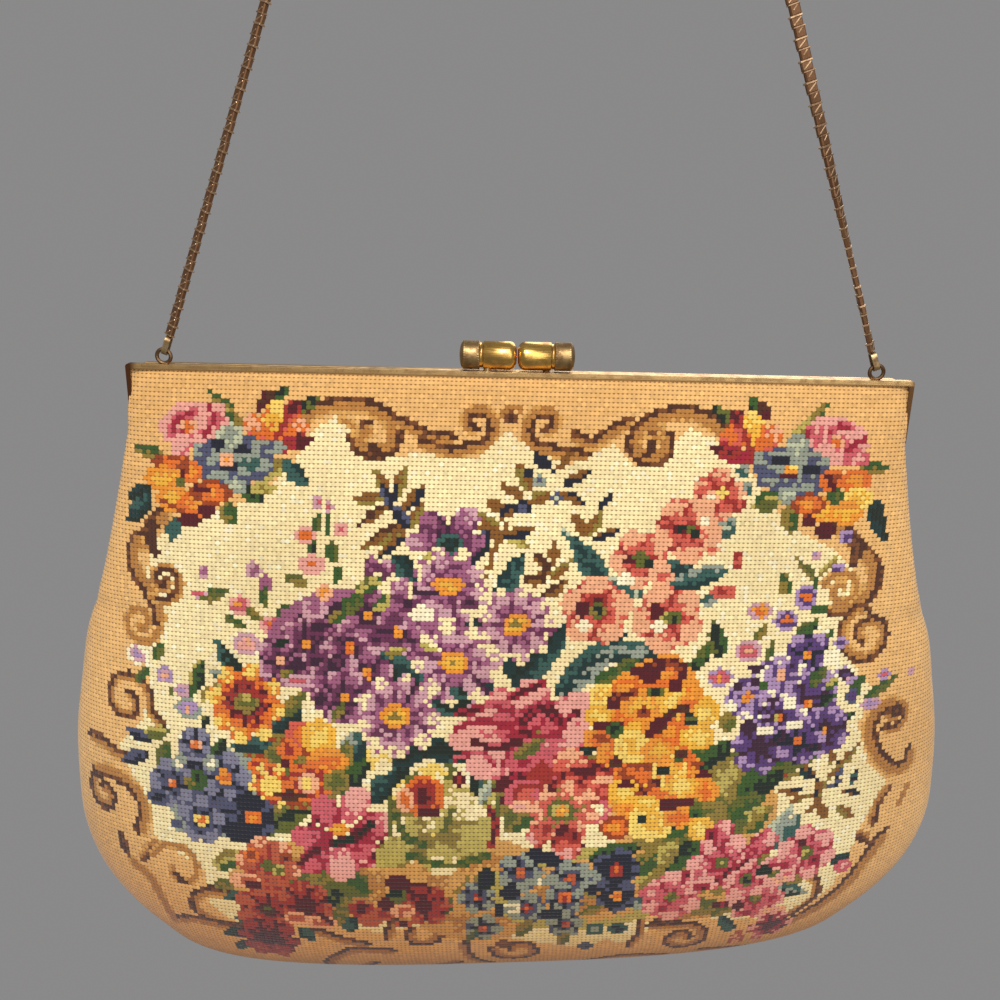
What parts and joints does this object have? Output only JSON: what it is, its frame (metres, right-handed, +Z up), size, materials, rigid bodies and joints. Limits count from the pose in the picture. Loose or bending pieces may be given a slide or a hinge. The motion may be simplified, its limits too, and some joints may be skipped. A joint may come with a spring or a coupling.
{
  "type": "tapestry handbag",
  "caption": "Soft needlepoint handbag with rounded lower corners on a hinged brass frame with a barrel clasp, hanging from a folded-link chain.",
  "frame": {"origin": "underside of the chain's bend, where the bag hangs over a hook", "axes": "+Z up along the hanging bag, +X to the wearer's right when facing its front, +Y towards its back; the front faces -Y"},
  "size_m": [0.2502, 0.058, 0.4266],
  "materials": {
    "brass_frame": "satin gold brass, darkened to reddish brown at corners, edges and hinge arms",
    "polished_brass": "polished, with brown tarnish in the grooves",
    "aged_brass": "antique brown, worn bright on the folds",
    "needlepoint": "wool needlepoint with a floral pattern on a cream and camel ground"
  },
  "bodies": {
    "root": {"frame_front": "brass_frame", "frame_back": "brass_frame", "hinge_rivet_left": "brass_frame", "hinge_rivet_right": "brass_frame", "clasp_barrel_left": "polished_brass", "clasp_barrel_right": "polished_brass", "chain": "aged_brass", "chain_hook_left": "polished_brass", "chain_hook_right": "polished_brass", "front_panel": "needlepoint", "back_panel": "needlepoint"}
  },
  "joints": []
}
